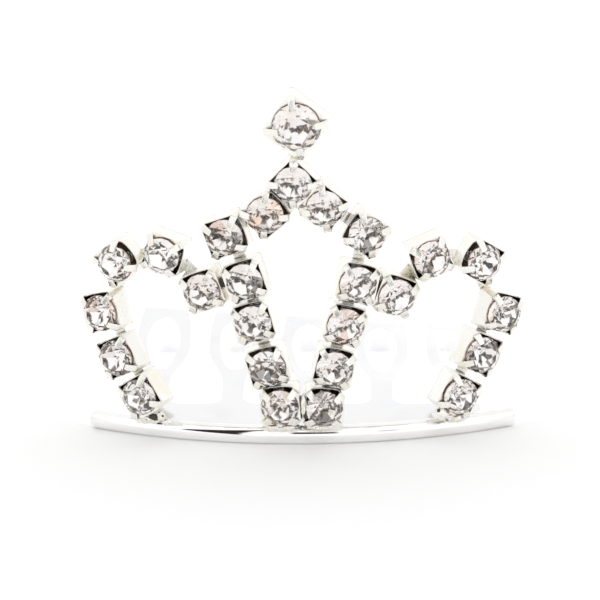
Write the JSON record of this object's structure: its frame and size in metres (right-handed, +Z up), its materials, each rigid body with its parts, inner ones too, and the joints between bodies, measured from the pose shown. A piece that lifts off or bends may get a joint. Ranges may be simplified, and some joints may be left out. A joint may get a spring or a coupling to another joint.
{
  "type": "tiara comb",
  "caption": "Small rhinestone tiara on a hair comb: square cups with clear round stones soldered into a crown outline on a curved bar, with a stamped comb behind.",
  "frame": {"origin": "bottom centre of the bounding box, on the plane that the bar and the comb's tips stand on", "axes": "+Z up the crown, -Y out of the front with the stones, +X to the right seen from the front"},
  "size_m": [0.0471, 0.0352, 0.0382],
  "materials": {
    "silver_plate": "bright silver plate",
    "crystal": "clear cut glass with a foil back"
  },
  "bodies": {
    "root": {"silver_frame": "silver_plate", "stone_finial": "crystal", "stone_arm_left_1": "crystal", "stone_arm_left_2": "crystal", "stone_arm_left_3": "crystal", "stone_arm_left_4": "crystal", "stone_arm_left_5": "crystal", "stone_arm_left_6": "crystal", "stone_arm_left_7": "crystal", "stone_arm_right_1": "crystal", "stone_arm_right_2": "crystal", "stone_arm_right_3": "crystal", "stone_arm_right_4": "crystal", "stone_arm_right_5": "crystal", "stone_arm_right_6": "crystal", "stone_lobe_left_1": "crystal", "stone_lobe_left_2": "crystal", "stone_lobe_left_3": "crystal", "stone_lobe_left_4": "crystal", "stone_lobe_left_5": "crystal", "stone_lobe_left_6": "crystal", "stone_lobe_right_1": "crystal", "stone_lobe_right_2": "crystal", "stone_lobe_right_3": "crystal", "stone_lobe_right_4": "crystal", "stone_lobe_right_5": "crystal", "stone_lobe_right_6": "crystal"}
  },
  "joints": []
}
